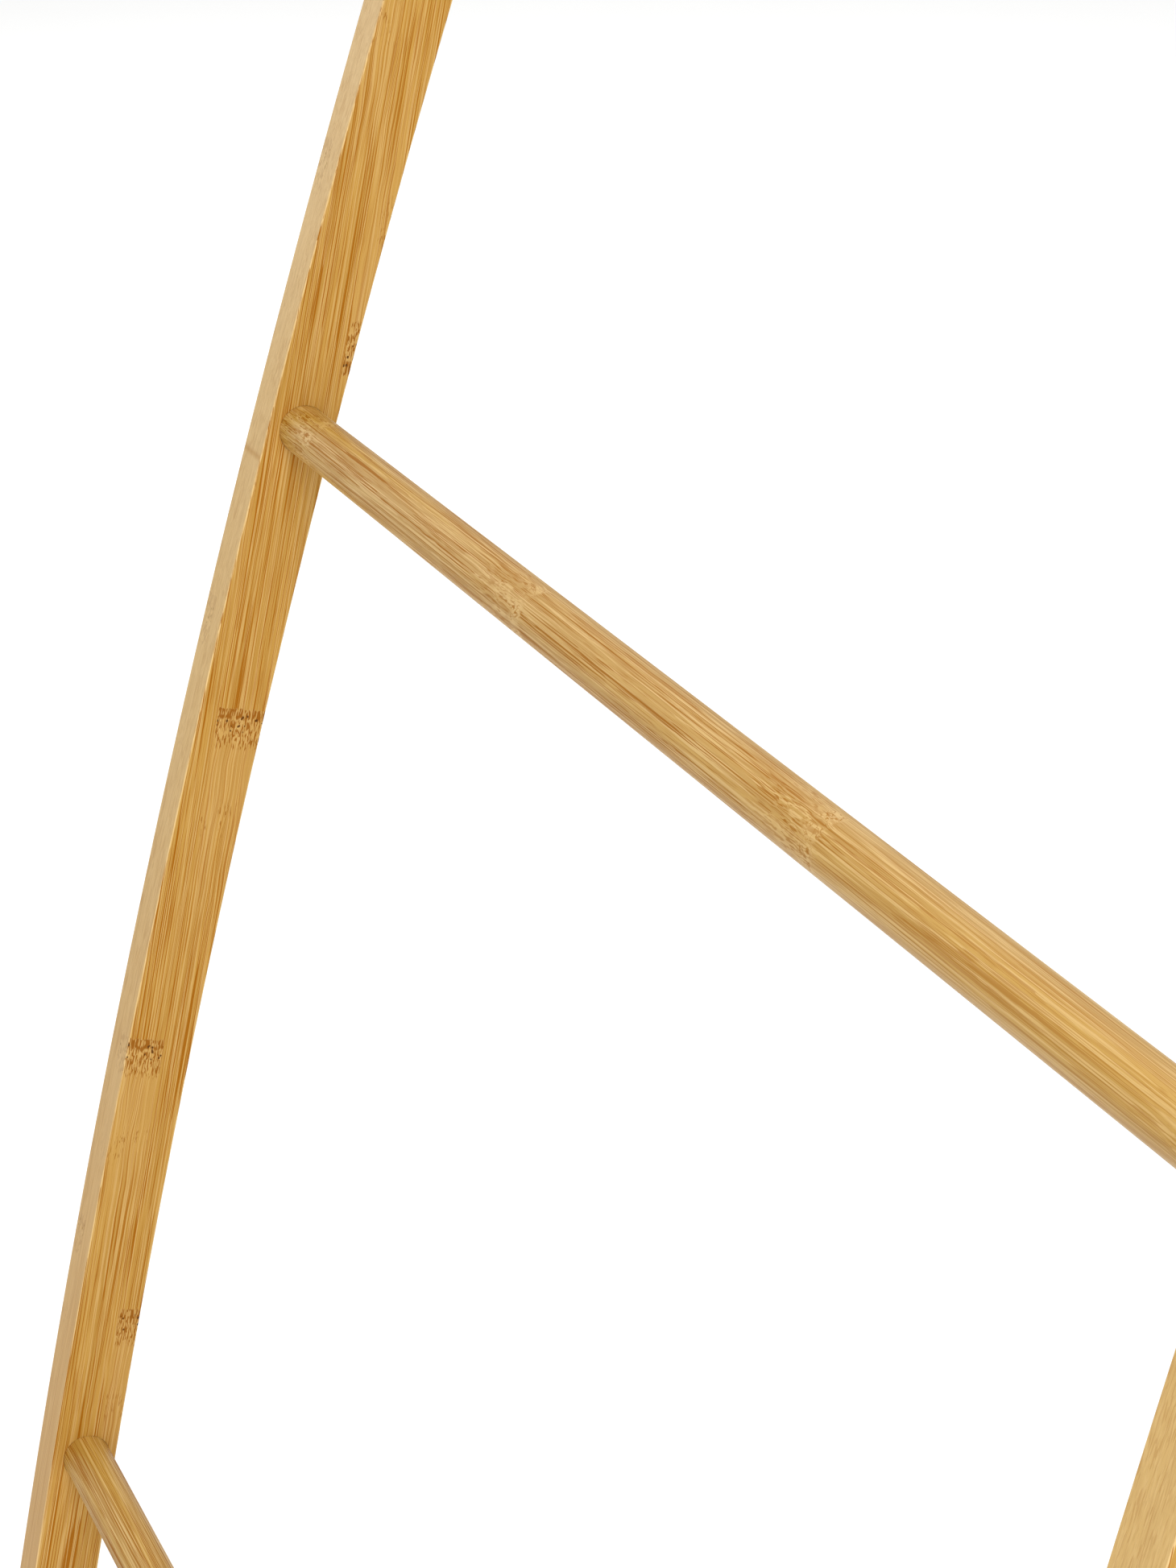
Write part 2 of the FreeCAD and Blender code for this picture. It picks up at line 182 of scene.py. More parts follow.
def lathe(profile, segments, x, sign, axis):
    """Vertices and faces of a solid turned about a line along X. The profile holds (distance from
    x towards sign, radius) pairs, and starts and ends on the axis."""
    angles = np.linspace(0, 2 * math.pi, segments, endpoint=False)
    vertices, rings = [], []
    for along, radius in profile:
        place = x + sign * along
        ring = len(vertices)
        if radius == 0:
            vertices.append((place, *axis))
            rings.append([ring] * segments)
        else:
            vertices += [
                (place, axis[0] + radius * math.cos(a), axis[1] + radius * math.sin(a))
                for a in angles
            ]
            rings.append(list(range(ring, ring + segments)))
    faces = []
    for low, high in zip(rings, rings[1:]):
        for k in range(segments):
            after = (k + 1) % segments
            face = list(dict.fromkeys((low[k], high[k], high[after], low[after])))
            faces.append(face[::-1] if sign > 0 else face)
    return vertices, faces


def cut(made, cutters):
    """Takes the cutters out of a piece and throws them away."""
    for cutter in cutters:
        modifier = made.modifiers.new(cutter.name, "BOOLEAN")
        modifier.operation = "DIFFERENCE"
        modifier.solver = "EXACT"
        modifier.object = cutter
    bpy.context.view_layer.update()
    graph = bpy.context.evaluated_depsgraph_get()
    whole = made.data
    made.data = bpy.data.meshes.new_from_object(made.evaluated_get(graph))
    made.modifiers.clear()
    bpy.data.meshes.remove(whole)
    for cutter in cutters:
        bpy.data.meshes.remove(cutter.data)


# ---- Pieces -----------------------------------------------------------------------------------


def rail_outline(sizes):
    """The rail from the side, in four runs: up the front from foot to nose, over the top corner,
    down the wall flat and the back, and under the foot. The first and third have as many points."""
    front, back = sizes["front"], sizes["back"]
    top = lean_of(axis_of(RUNGS[-1])) + HEAD_LENGTH / ((front + back) / 2)

    nose_turn = math.asin(TOP_ROUND / (front - TOP_ROUND))
    nose_centre = on_arc(front - TOP_ROUND, top - nose_turn)
    nose = [
        nose_centre + TOP_ROUND * np.array([-math.cos(top + a), math.sin(top + a)])
        for a in np.linspace(-nose_turn, math.pi / 2, NOSE_STEPS + 1)
    ]

    flat_low_lean = math.acos((CENTRE[0] - sizes["wall"]) / back)
    flat_low = on_arc(back, flat_low_lean)
    reach = (CENTRE[0] - sizes["wall"]) / math.cos(top)
    flat_high = on_arc(reach, top)
    flat = [flat_high + (flat_low - flat_high) * s for s in np.linspace(0, 1, NOSE_STEPS + 1)]
    crown = rounded_corner(nose[-1], flat_high, flat_low, CORNER_ROUND, CORNER_STEPS)
    flat[0] = crown[-1]

    def arc(radius, low, high):
        return [on_arc(radius, a) for a in np.linspace(low, high, RAIL_STATIONS + 1)]

    foot_front, foot_back = (on_arc(r, lean_at_height(r, sizes["foot"])) for r in (front, back))
    heel = rounded_corner(
        on_arc(back, flat_low_lean / 2), foot_back, foot_front, CORNER_ROUND, CORNER_STEPS
    )
    toe = rounded_corner(foot_back, foot_front, on_arc(front, top / 2), CORNER_ROUND, CORNER_STEPS)
    rise = arc(front, lean_of(toe[-1]), top - nose_turn)
    fall = arc(back, flat_low_lean, lean_of(heel[0]))
    chain_up = rise[:-1] + nose
    chain_down = flat + fall[1:]
    return chain_up, crown[:-1], chain_down, heel[1:] + toe[:-1]


def make_rail(name):
    """A side rail with eased edges, its rung seats and its screw holes."""
    sizes = rail_measures(name)
    chain_up, crown, chain_down, foot = rail_outline(sizes)
    outline = np.array(chain_up + crown[1:] + chain_down + foot)
    count = len(outline)
    ahead = np.roll(outline, -1, axis=0) - np.roll(outline, 1, axis=0)
    ahead /= np.linalg.norm(ahead, axis=1)[:, None]
    outward = np.stack([-ahead[:, 1], ahead[:, 0]], axis=1)

    # Copies of the outline from the inner face to the outer: how far along X, and how far inset.
    easing = [math.radians(90) * s / EASING_STEPS for s in range(EASING_STEPS, -1, -1)]
    side = math.copysign(1, sizes["outer"])
    levels = [
        (sizes["inner"] + side * EDGE_ROUND * (1 - math.sin(a)), EDGE_ROUND * (1 - math.cos(a)))
        for a in easing
    ]
    levels += [
        (sizes["outer"] - side * EDGE_ROUND * (1 - math.sin(a)), EDGE_ROUND * (1 - math.cos(a)))
        for a in reversed(easing)
    ]
    vertices = [(x, *point) for x, inset in levels for point in outline - inset * outward]
    faces = []
    for level in range(len(levels) - 1):
        here, there = level * count, (level + 1) * count
        for k in range(count):
            after = (k + 1) % count
            faces.append([here + k, here + after, there + after, there + k])

    # The two side faces: quads from the front to the back, with the top corner and the foot.
    ups = len(chain_up)
    first_down = ups + len(crown) - 1
    last_down = first_down + len(chain_down) - 1
    for start in (0, (len(levels) - 1) * count):
        cap = [[k, k + 1, last_down - 1 - k, last_down - k] for k in range(ups - 1)]
        cap.append(list(range(ups - 1, first_down + 1)))
        cap.append([0, *range(last_down, count)])
        cap = [[start + k for k in face] for face in cap]
        faces += cap if start else [face[::-1] for face in cap]
    if side > 0:
        faces = [face[::-1] for face in faces]
    made = piece(f"{name}_board", vertices, faces)

    seat = radius_of(RUNGS[0]) + SEAT_GAP / 2
    thickness = abs(sizes["outer"] - sizes["inner"])
    sink = HEAD_HOLE / 2 - SHANK_HOLE / 2
    clear = 1 * MM
    profile = (
        (-clear, 0),
        (-clear, seat),
        (SEAT_DEPTH, seat),
        (SEAT_DEPTH, SHANK_HOLE / 2),
        (thickness - sink, SHANK_HOLE / 2),
        (thickness + clear, HEAD_HOLE / 2 + clear),
        (thickness + clear, 0),
    )
    cutters = []
    for rung in RUNGS:
        bore = lathe(profile, BORE_SEGMENTS, sizes["inner"], side, axis_of(rung))
        cutters.append(piece(f"{name}_bore_{rung}", *bore))
    cut(made, cutters)
    shade(made)
    weigh_normals(made)
    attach(made, "root")
    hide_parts(name)
    return made


def make_rung(name):
    """A round rung, chamfered and drilled at both ends."""
    low, high = corners(name)
    radius = radius_of(name)
    length = high[0] - low[0]
    tip = PILOT_DEPTH + SCREW_SHANK / 2 / math.tan(DRILL_POINT / 2)
    start = [
        (tip, 0),
        (PILOT_DEPTH, SCREW_SHANK / 2),
        (0, SCREW_SHANK / 2),
        (0, radius - RUNG_CHAMFER),
        (RUNG_CHAMFER, radius),
    ]
    stations = np.linspace(RUNG_CHAMFER, length - RUNG_CHAMFER, RUNG_STATIONS)
    bar = [(along, radius) for along in stations[1:-1]]
    end = [(length - along, r) for along, r in reversed(start)]
    turned = lathe(start + bar + end, RUNG_SEGMENTS, low[0], 1, axis_of(name))
    made = piece(f"{name}_dowel", *turned)
    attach(made, "root")
    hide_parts(name)
    return made


# ---- Materials --------------------------------------------------------------------------------


def srgb(red, green, blue):
    """A display colour, 0 to 255, as the linear colour that the shaders use."""
    def linear(value):
        value /= 255
        return value / 12.92 if value <= 0.04045 else ((value + 0.055) / 1.055) ** 2.4

    return (linear(red), linear(green), linear(blue), 1.0)


class Shader:
    """One procedural material. Every method adds a node and returns its output."""

    def __init__(self, name):
        self.material = bpy.data.materials.new(name)
        self.material.use_nodes = True
        self.tree = self.material.node_tree
        self.tree.nodes.clear()

    def node(self, kind, inputs=(), **settings):
        made = self.tree.nodes.new(kind)
        for key, value in settings.items():
            setattr(made, key, value)
        for key, value in dict(inputs).items():
            if isinstance(value, bpy.types.NodeSocket):
                self.tree.links.new(value, made.inputs[key])
            else:
                made.inputs[key].default_value = value
        return made

    def math(self, operation, *values):
        return self.node("ShaderNodeMath", enumerate(values), operation=operation).outputs[0]

    def times(self, a, b):
        return self.math("MULTIPLY", a, b)

    def plus(self, a, b):
        return self.math("ADD", a, b)

    def minus(self, a, b):
        return self.math("SUBTRACT", a, b)

    def most(self, a, b):
        return self.math("MAXIMUM", a, b)

    def line(self, value, slope, at_zero):
        """value times slope, plus at_zero."""
        return self.math("MULTIPLY_ADD", value, slope, at_zero)

    def step(self, value, low, high, at_low=0.0, at_high=1.0):
        """A smooth change from at_low to at_high as value goes from low to high."""
        inputs = {"Value": value, 1: low, 2: high, 3: at_low, 4: at_high}
        return self.node("ShaderNodeMapRange", inputs, interpolation_type="SMOOTHSTEP").outputs[0]

    def band(self, value, start, full, fade, end):
        """0 up to start, 1 from full to fade, and 0 again from end."""
        return self.times(self.step(value, start, full), self.step(value, end, fade))

    def position(self):
        return self.node("ShaderNodeTexCoord").outputs["Object"]

    def normal(self):
        return self.node("ShaderNodeTexCoord").outputs["Normal"]

    def turned(self, vector, location=(0, 0, 0), rotation=(0, 0, 0), scale=(1, 1, 1)):
        inputs = {"Vector": vector, "Location": location, "Rotation": rotation, "Scale": scale}
        return self.node("ShaderNodeMapping", inputs).outputs[0]

    def split(self, vector):
        return self.node("ShaderNodeSeparateXYZ", {0: vector}).outputs

    def stretched(self, x, v, u, sizes):
        """The point (x, v, u) measured in features of those sizes."""
        parts = [self.math("DIVIDE", part, size) for part, size in zip((x, v, u), sizes)]
        return self.node("ShaderNodeCombineXYZ", enumerate(parts)).outputs[0]

    def noise(self, vector, detail=1.0, distortion=0.0):
        inputs = {"Vector": vector, "Scale": 1.0, "Detail": detail, "Distortion": distortion}
        return self.node("ShaderNodeTexNoise", inputs, noise_dimensions="3D").outputs["Fac"]

    def cells(self, vector):
        """Distance to the nearest of many scattered points."""
        inputs = {"Vector": vector, "Scale": 1.0}
        return self.node("ShaderNodeTexVoronoi", inputs, feature="F1").outputs["Distance"]

    def random(self, value):
        made = self.node("ShaderNodeTexWhiteNoise", {"W": value}, noise_dimensions="1D")
        return made.outputs["Value"]

    def mix(self, factor, a, b):
        return self.node("ShaderNodeMix", {0: factor, 6: a, 7: b}, data_type="RGBA").outputs[2]

    def tint(self, colour, other, where, strength):
        """colour, turned by strength towards the other one where it says."""
        return self.mix(self.times(where, strength), colour, other)

    def bump(self, height, strength, distance):
        inputs = {"Height": height, "Strength": strength, "Distance": distance}
        return self.node("ShaderNodeBump", inputs).outputs[0]

    def finish(self, **inputs):
        """The surface itself, and the material."""
        inputs = {key.replace("_", " "): value for key, value in inputs.items()}
        shader = self.node("ShaderNodeBsdfPrincipled", inputs).outputs[0]
        self.node("ShaderNodeOutputMaterial", {"Surface": shader})
        return self.material


# Bamboo's colours, from the rubbed edges, which also carry a painted highlight, to the burnt marks
# and pits at its knuckles, and a painted shade for the narrow faces low on the rail.
# Painted highlight on the eased edges, together with their real rubbed paleness.
BAMBOO_RUBBED_AND_HIGHLIT = srgb(236, 206, 150)
BAMBOO_SANDED = srgb(214, 178, 114)
BAMBOO_SHADED_LOW = srgb(196, 147, 66)
# Painted shade: the narrow faces' colour, darker and warmer low down on the rail where less sheen
# falls.
BAMBOO_PALE = srgb(212, 175, 106)
BAMBOO_HONEY = srgb(195, 152, 69)
BAMBOO_DEEP = srgb(184, 141, 60)
BAMBOO_FIBRE = srgb(156, 95, 4)
BAMBOO_MARK = srgb(138, 78, 0)
BAMBOO_PIT = srgb(50, 25, 8)

# The grain is laid out in millimetres: x through the layers of the board, v across its strips and u
# along the fibres. A knuckle is a ring of the living stem, and every strip has its own. Each
# strip's knuckle is a stagger further along than its neighbour's, with drift for the square of its
# number.
GRAIN_LEAN = math.radians(11.25)  # the straight grain that both bent rails are sawn across
RAIL_STRIPS = {
    "width": 20.9,
    "layer": 8.4,
    "gap": 201.0,
    "stagger": -99.5,
    "drift": -7.5,
    "layer_stagger": -65.0,
}
RUNG_STRIPS = {
    "width": 20.0,
    "layer": 20.0,
    "gap": 180.0,
    "stagger": 10.0,
    "drift": 0.0,
    "layer_stagger": 0.0,
}
SEAM = 0.15  # how far the glue in a seam has soaked in
LONG_STEM = 1110.0  # above this u the stem's knuckles lie further apart
STEM_STRETCH = 0.23
TURNED_STRIP = 3  # one strip in this many was laid the other way up
LAYER_IDENTITY = 17.0  # strips in a layer that can be told apart
RAGGED = (2.0, 1.3, 1.0)  # sizes of the steps in a knuckle's ragged line
RAGGED_BY = 1.2

# Sizes of the grain's features through, across and along. Those of the lines and hairs are first
# across and then along.
LINE_LENGTH, HAIR_LENGTH = 60.0, 20.0
CLUSTERS = (3.0, 1.9, 120.0)
TONES = (5.0, 2.8, 210.0)
PALE_STREAKS = (0.7, 0.5, 60.0)

# What lies at a rail's knuckle, by distance past it: where it starts, is full, fades and ends.
RAIL_DISTURBED = (-6.0, 2.0, 10.0, 80.0)
BLOCK_ROW = (-5.2, -4.8, -2.2, -1.5)
PIT_ROW = (-3.6, -2.8, 1.8, 2.6)
SPOTTED = (-3.5, -2.0, 4.0, 9.0)
SECOND_ARC = (22.0, 27.0, 32.0, 42.0)
RAIL_SWIRLS = (10.0, 5.0, 22.0)
RAIL_PATCHES = (10.0, 5.0, 12.0)
RAIL_DASHES = (0.7, 0.42, 2.6)
BLOCKS = (0.9, 0.6, 4.0)
PITS = (1.5, 1.4, 2.0)
SKIN = 0.05  # the first seam between layers lies this far behind the rail's inner face

# How square to X a rail's surface is, where it is rubbed and carries a painted highlight: on the
# eased edges only.
EASED_EDGE = (0.1, 0.3, 0.9, 0.99)
# The painted shade low on the narrow faces fades out between these, along the grain.
SHADE_FADE_START, SHADE_FADE_END = 800.0, 1120.0  # along the grain, the narrow faces pale between these

# The same for a rung.
RUNG_DISTURBED = (-6.0, 0.0, 6.0, 40.0)
KNOT = (-4.0, -2.0, 2.0, 7.0)
RUNG_SWIRLS = (4.0, 4.0, 14.0)
RUNG_PATCHES = (4.0, 4.0, 24.0)
RUNG_LOOPS = (1.6, 1.6, 2.6)
RUNG_DASHES = (0.6, 0.45, 4.0)
CRISP_END, FAINT_END = 40.0, 220.0  # along a rung, its fibre lines fade between these


class Strips:
    """The strips that a board or bar is glued from, in the grain's own coordinates."""

    def __init__(self, s, x, v, u, first_knuckle, *, width, layer, gap, **staggers):
        self.x, self.v, self.u = x, v, u
        number = s.math("FLOOR", s.math("DIVIDE", v, width))
        depth = s.math("FLOOR", s.math("DIVIDE", x, layer))
        self.identity = s.line(depth, LAYER_IDENTITY, number)
        across = s.minus(v, s.times(number, width))
        through = s.minus(x, s.times(depth, layer))
        inside = s.times(
            s.band(across, 0.0, SEAM, width - SEAM, width),
            s.band(through, 0.0, SEAM, layer - SEAM, layer),
        )
        self.seam = s.minus(1.0, inside)

        place = s.times(s.times(number, number), staggers["drift"])
        place = s.line(number, staggers["stagger"], place)
        place = s.line(depth, staggers["layer_stagger"], place)
        stem = s.line(s.most(s.minus(u, LONG_STEM), 0.0), -STEM_STRETCH, u)
        from_first = s.minus(s.minus(stem, first_knuckle), place)
        ragged = s.noise(s.stretched(x, v, self.identity, RAGGED))
        ragged = s.line(ragged, 2 * RAGGED_BY, -RAGGED_BY)
        offset = s.plus(s.math("WRAP", from_first, gap / 2, -gap / 2), ragged)
        # Distance past the knuckle, on the side where the fibres are broken up.
        turned = s.math("COMPARE", s.math("FLOORED_MODULO", number, TURNED_STRIP), 1.0, 0.1)
        self.past = s.times(offset, s.line(turned, 2.0, -1.0))

    def noise(self, s, sizes, **settings):
        return s.noise(s.stretched(self.x, self.v, self.u, sizes), **settings)


def swirled(s, strips, sizes, reach, near, far):
    """Moves the strips' fibres sideways in swirls: by near at a knuckle, and by far elsewhere."""
    swirl = s.minus(strips.noise(s, sizes), 0.5)
    strips.v = s.plus(strips.v, s.times(swirl, s.line(reach, near - far, far)))


def fibres(s, strips, spacing, rarity):
    """Long fibre lines in clusters, and the wood between them: its colour, and how dark the lines
    make it."""
    lines = strips.noise(s, (1.2 * spacing, spacing, LINE_LENGTH))
    hairs = strips.noise(s, (0.8 * spacing, 0.67 * spacing, HAIR_LENGTH))
    cluster = strips.noise(s, CLUSTERS)
    tone = strips.noise(s, TONES, detail=2.0)
    pale = strips.noise(s, PALE_STREAKS)
    level = s.plus(lines, s.line(cluster, 0.34, -0.16))
    dark = s.step(level, rarity, rarity + 0.035)
    dark = s.most(dark, s.times(s.step(hairs, 0.55, 0.62), 0.5))
    strip_tone = s.line(s.random(strips.identity), 0.2, -0.1)
    base = s.mix(s.step(s.plus(tone, strip_tone), 0.36, 0.66), BAMBOO_HONEY, BAMBOO_DEEP)
    base = s.tint(base, BAMBOO_PALE, s.step(pale, 0.48, 0.6), 0.8)
    return base, dark


def satin(s, colour, low):
    """Bamboo with a thin satin finish, which the low, open fibres and marks have soaked up."""
    return s.finish(
        Base_Color=colour,
        Roughness=s.step(low, 0.0, 1.0, 0.4, 0.6),
        Normal=s.bump(s.minus(1.0, low), 0.3, 0.06 * MM),
        Specular_IOR_Level=s.step(low, 0.0, 1.0, 0.32, 0.12),
    )


def bamboo_board(name, sizes, first_seam, first_knuckle):
    """The rails' laminated board: straight strips that the bent outline runs across."""
    s = Shader(name)
    where = s.turned(s.position(), rotation=(GRAIN_LEAN, 0, 0), scale=(1 / MM,) * 3)
    x, v, u = s.split(where)
    x = s.minus(s.math("ABSOLUTE", x), abs(sizes["inner"]) / MM - SKIN)
    v = s.minus(v, first_seam)
    strips = Strips(s, x, v, u, first_knuckle, **RAIL_STRIPS)
    past = strips.past

    # The knuckle: a row of blocks with a sharp edge, then pits, then a spotted patch of short
    # dashes that thins out, and further on a second, fainter arc of them.
    disturbed = s.band(past, *RAIL_DISTURBED)
    block_row = s.band(past, *BLOCK_ROW)
    spotted = s.band(past, *SPOTTED)
    patch = s.step(strips.noise(s, RAIL_PATCHES), 0.42, 0.56)
    arc = s.times(s.band(past, *SECOND_ARC), patch)
    zone = s.most(spotted, s.times(arc, 0.2))
    dashes = s.minus(strips.noise(s, RAIL_DASHES), s.line(zone, -0.1, 0.62))
    dashes = s.times(s.step(dashes, -0.005, 0.012), s.step(zone, 0.0, 0.3))
    blocks = s.times(s.step(strips.noise(s, BLOCKS), 0.46, 0.5, 0.15, 1.0), block_row)
    marks = s.most(s.times(dashes, 0.95), blocks)
    pits = s.cells(s.stretched(x, v, u, PITS))
    pits = s.times(s.step(pits, 0.28, 0.2), s.band(past, *PIT_ROW))

    swirled(s, strips, RAIL_SWIRLS, disturbed, near=2.7, far=0.3)
    base, dark = fibres(s, strips, spacing=0.38, rarity=0.58)
    calm = s.most(s.most(spotted, block_row), s.times(disturbed, 0.55))
    dark = s.times(dark, s.line(calm, -0.9, 1.0))

    # The narrow faces are cut the other way through the layers: paler, with faint lines. Low down on
    # the rail they carry a painted shade, darker and warmer, where less sheen falls. The eased edges
    # are rubbed paler still and carry a painted highlight.
    facing = s.math("ABSOLUTE", s.split(s.normal())[0])
    narrow = s.step(facing, 0.8, 0.3)
    contrast = s.line(narrow, -0.7, 1.0)
    dark, marks = s.times(dark, contrast), s.times(marks, contrast)
    # Painted shade: the narrow faces darker and warmer low down on the rail.
    sanded_and_shaded = s.mix(s.step(u, SHADE_FADE_START, SHADE_FADE_END), BAMBOO_SHADED_LOW, BAMBOO_SANDED)

    colour = s.tint(base, BAMBOO_PALE, calm, 0.45)
    colour = s.tint(colour, sanded_and_shaded, narrow, 0.65)
    # Painted highlight along the eased edges, on top of their real rubbed paleness.
    colour = s.tint(colour, BAMBOO_RUBBED_AND_HIGHLIT, s.band(facing, *EASED_EDGE), 0.6)
    colour = s.mix(dark, colour, BAMBOO_FIBRE)
    colour = s.tint(colour, BAMBOO_MARK, marks, 0.95)
    colour = s.tint(colour, BAMBOO_PIT, pits, contrast)
    colour = s.tint(colour, BAMBOO_FIBRE, strips.seam, 0.35)
    low = s.most(s.most(dark, marks), pits)
    return satin(s, colour, s.most(low, s.times(strips.seam, 0.5)))


def bamboo_dowel(name, rung, seam_turn, first_knuckle):
    """A rung: a round bar turned from two glued strips, its fibres along X."""
    s = Shader(name)
    y, z = axis_of(rung) / MM
    where = s.turned(s.position(), location=(0, -y, -z), scale=(1 / MM,) * 3)
    u, v, x = s.split(s.turned(where, rotation=(seam_turn, 0, 0)))
    x = s.plus(x, RUNG_STRIPS["layer"] / 2)
    strips = Strips(s, x, v, u, first_knuckle, **RUNG_STRIPS)
    past = strips.past

    # The knuckle: a small swirl of pale and dark loops, and short dashes past it.
    disturbed = s.band(past, *RUNG_DISTURBED)
    patch = strips.noise(s, RUNG_PATCHES)
    knot = s.times(s.band(past, *KNOT), s.step(patch, 0.36, 0.5))
    loops = strips.noise(s, RUNG_LOOPS, distortion=0.8)
    loops = s.step(s.math("ABSOLUTE", s.minus(loops, 0.5)), 0.035, 0.012)
    loops = s.times(loops, knot)
    broken = s.times(disturbed, s.step(patch, 0.44, 0.6))
    dashes = s.times(s.step(strips.noise(s, RUNG_DASHES), 0.53, 0.58), broken)

    swirled(s, strips, RUNG_SWIRLS, disturbed, near=2.0, far=0.2)
    base, dark = fibres(s, strips, spacing=0.2, rarity=0.57)
    calm = s.most(s.times(broken, 0.7), knot)
    dark = s.times(dark, s.line(calm, -0.9, 1.0))
    dark = s.most(dark, s.times(dashes, 0.8))
    dark = s.times(dark, s.step(u, CRISP_END, FAINT_END, 0.9, 0.5))

    colour = s.tint(base, BAMBOO_PALE, calm, 0.6)
    colour = s.mix(dark, colour, BAMBOO_FIBRE)
    colour = s.tint(colour, BAMBOO_FIBRE, loops, 0.7)
    return satin(s, colour, s.most(dark, loops))


def screw_steel():
    """Zinc-plated steel, slightly cloudy and finely grained."""
    s = Shader("screw_steel")
    where = s.turned(s.position(), scale=(1 / MM,) * 3)
    blotch = s.noise(s.turned(where, scale=(0.4, 0.4, 0.4)), detail=3.0)
    fine = s.noise(s.turned(where, scale=(3.0, 3.0, 3.0)), detail=2.0)
    colour = s.mix(blotch, srgb(176, 174, 168), srgb(206, 204, 198))
    roughness = s.step(fine, 0.3, 0.7, 0.24, 0.42)
    normal = s.bump(fine, 0.2, 0.02 * MM)
    return s.finish(Base_Color=colour, Metallic=1.0, Roughness=roughness, Normal=normal)


def pad_rubber():
    """Soft pale grey rubber with a fine moulded grain."""
    s = Shader("rubber")
    where = s.turned(s.position(), scale=(1 / MM,) * 3)
    cloud = s.noise(s.turned(where, scale=(0.2, 0.2, 0.2)), detail=2.0)
    grain = s.noise(s.turned(where, scale=(5.0, 5.0, 5.0)), detail=2.0)
    colour = s.mix(cloud, srgb(186, 184, 176), srgb(204, 202, 194))
    roughness = s.step(grain, 0.3, 0.7, 0.6, 0.8)
    normal = s.bump(grain, 0.4, 0.05 * MM)
    return s.finish(Base_Color=colour, Roughness=roughness, Normal=normal)


def studio_floor_paint():
    """Pale matt floor paint, very slightly uneven."""
    s = Shader("studio_floor")
    cloud = s.noise(s.turned(s.position(), scale=(0.8, 0.8, 0.8)), detail=3.0)
    colour = s.mix(cloud, srgb(240, 240, 239), srgb(246, 246, 245))
    return s.finish(
        Base_Color=colour,
        Roughness=0.9,
        Emission_Color=(1.0, 1.0, 1.0, 1.0),
        Emission_Strength=0.27,
    )


def wear(made, material):
    """Gives an object that one material."""
    made.data.materials.clear()
    made.data.materials.append(material)


# ---- Stage ------------------------------------------------------------------------------------

CAMERA_PLACE = (0.8057, -0.3297, 1.5037)
CAMERA_AZIMUTH = math.radians(68.889)
CAMERA_ELEVATION = math.radians(19.584)
LENS = 89.24
SENSOR = 36.0

CLIP_START, CLIP_END = 0.05, 200

FLOOR_HALF = 30.0
FLOOR_STEPS = 12
WORLD_STRENGTH = 0.53


def make_floor():
    steps = np.linspace(-FLOOR_HALF, FLOOR_HALF, FLOOR_STEPS + 1)
    vertices = [(x, y, 0.0) for y in steps for x in steps]
    row = FLOOR_STEPS + 1
    faces = [
        (j * row + i, j * row + i + 1, (j + 1) * row + i + 1, (j + 1) * row + i)
        for j in range(FLOOR_STEPS)
        for i in range(FLOOR_STEPS)
    ]
    made = piece("floor", vertices, faces)
    wear(made, studio_floor_paint())


def make_world():
    world = bpy.data.worlds.new("studio")
    bpy.context.scene.world = world
    world.use_nodes = True
    background = world.node_tree.nodes["Background"]
    background.inputs["Color"].default_value = (1.0, 1.0, 1.0, 1.0)
    background.inputs["Strength"].default_value = WORLD_STRENGTH


def soft_light(name, place, target, size, power):
    """A large square softbox that faces target."""
    data = bpy.data.lights.new(name, "AREA")
    data.shape = "SQUARE"
    data.size = size
    data.energy = power
    light = bpy.data.objects.new(name, data)
    light.location = place
    light.rotation_mode = "QUATERNION"
    light.rotation_quaternion = (Vector(target) - Vector(place)).to_track_quat("-Z", "Y")
    bpy.context.scene.collection.objects.link(light)


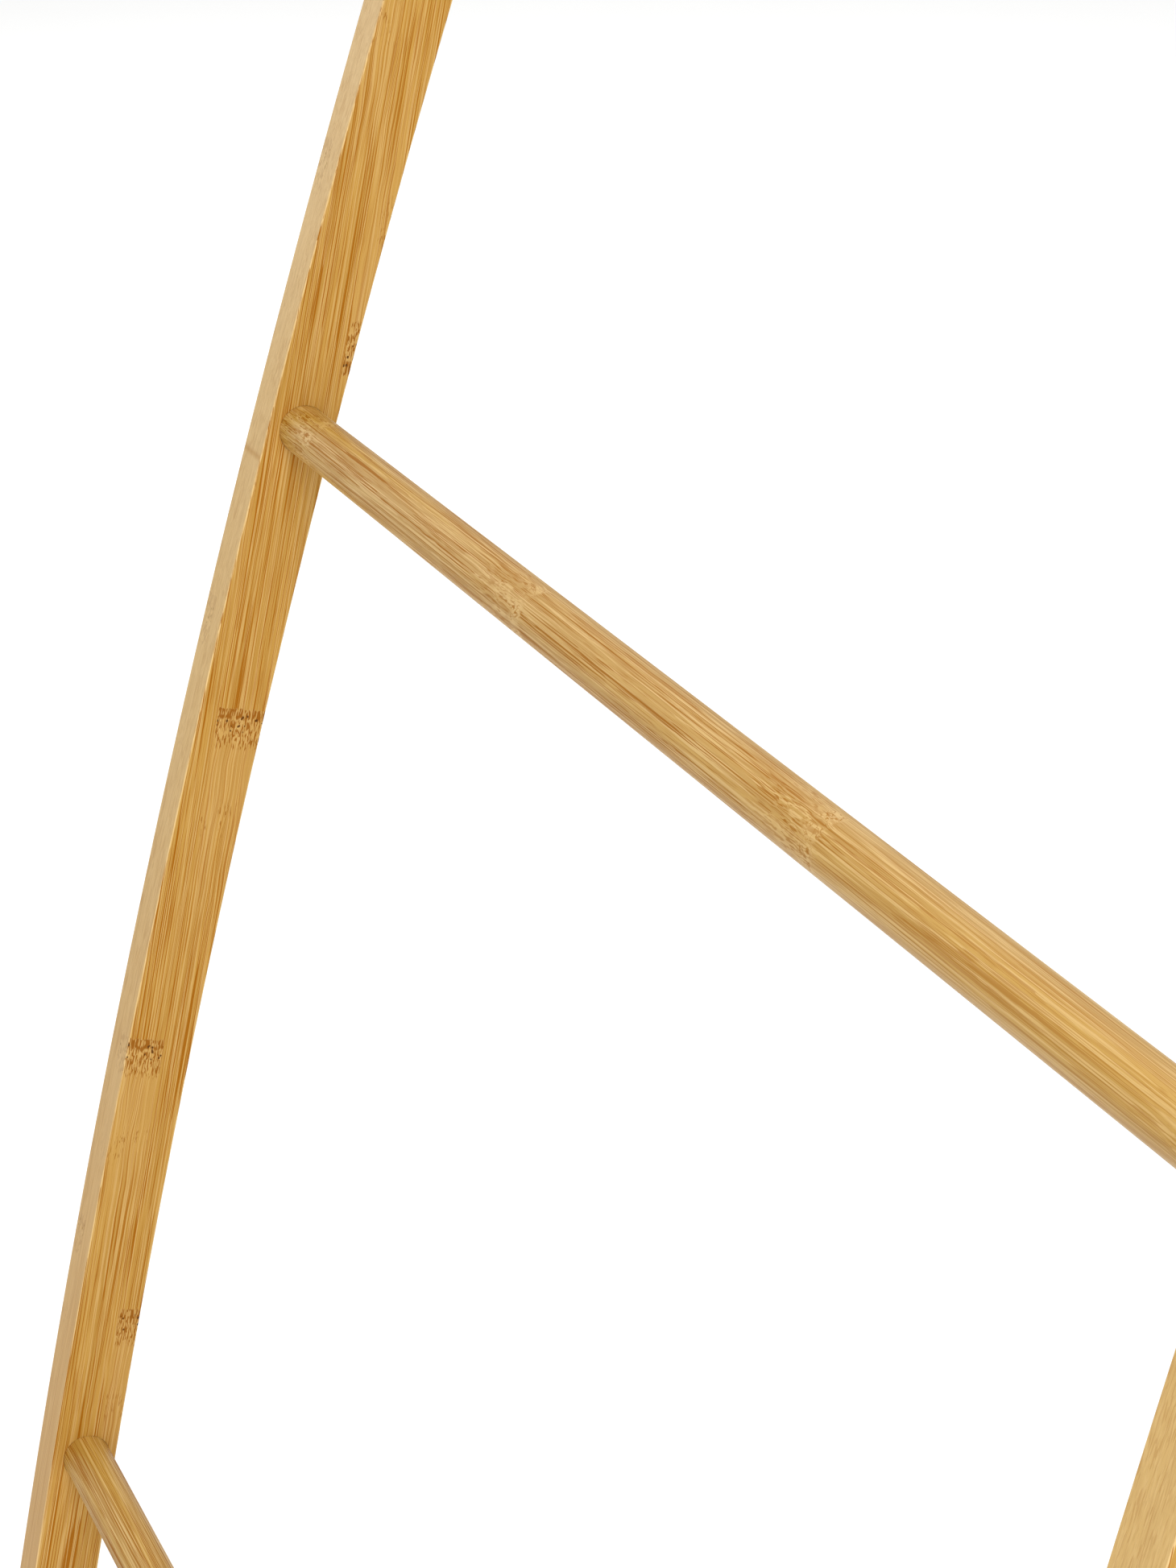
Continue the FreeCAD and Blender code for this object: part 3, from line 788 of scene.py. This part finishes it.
def make_camera():
    data = bpy.data.cameras.new("camera")
    data.lens = LENS
    data.sensor_width = SENSOR
    data.sensor_fit = "AUTO"
    data.clip_start = CLIP_START
    data.clip_end = CLIP_END
    camera = bpy.data.objects.new("camera", data)
    camera.location = CAMERA_PLACE
    level = math.cos(CAMERA_ELEVATION)
    back = Vector((
        math.sin(CAMERA_AZIMUTH) * level,
        -math.cos(CAMERA_AZIMUTH) * level,
        math.sin(CAMERA_ELEVATION),
    ))
    camera.rotation_mode = "QUATERNION"
    camera.rotation_quaternion = (-back).to_track_quat("-Z", "Y")
    bpy.context.scene.collection.objects.link(camera)
    bpy.context.scene.camera = camera


# ---- The ladder -------------------------------------------------------------------------------

# Where each rail's grain starts, in millimetres.
RAIL_GRAIN = {
    "left_rail": {"first_seam": -249.3, "first_knuckle": 91.0},
    "right_rail": {"first_seam": -241.0, "first_knuckle": 150.0},
}
# Each rung's grain is turned and moved along from the one below it.
SEAM_TURN, SEAM_TURN_STEP = 71.0, 47.0
RUNG_KNUCKLE, RUNG_KNUCKLE_STEP = -262.0, 61.0

for rail, grain in RAIL_GRAIN.items():
    board = make_rail(rail)
    wear(board, bamboo_board(f"{rail}_bamboo", rail_measures(rail), **grain))

for number, rung in enumerate(RUNGS):
    dowel = make_rung(rung)
    seam_turn = math.radians(SEAM_TURN + SEAM_TURN_STEP * number)
    first_knuckle = RUNG_KNUCKLE + RUNG_KNUCKLE_STEP * number
    wear(dowel, bamboo_dowel(f"{rung}_bamboo", rung, seam_turn, first_knuckle))

steel, rubber = screw_steel(), pad_rubber()
for name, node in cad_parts.items():
    if name.startswith("screw_"):
        wear(node, steel)
    elif "_pad_" in name:
        wear(node, rubber)

make_floor()
make_world()
soft_light("top", (0.9, -0.4, 2.7), (0, 0, 1.2), 1.0, 22)
soft_light("side", (2.6, -0.5, 1.4), (0, 0, 1.2), 1.5, 23)
soft_light("left", (-2.6, -0.9, 1.9), (-0.2, 0, 1.4), 1.6, 8)
soft_light("backdrop", (-5.5, 2.2, 4.5), (-5.5, 2.2, 0), 6.0, 150)
make_camera()
bpy.context.scene.view_settings.view_transform = "Standard"
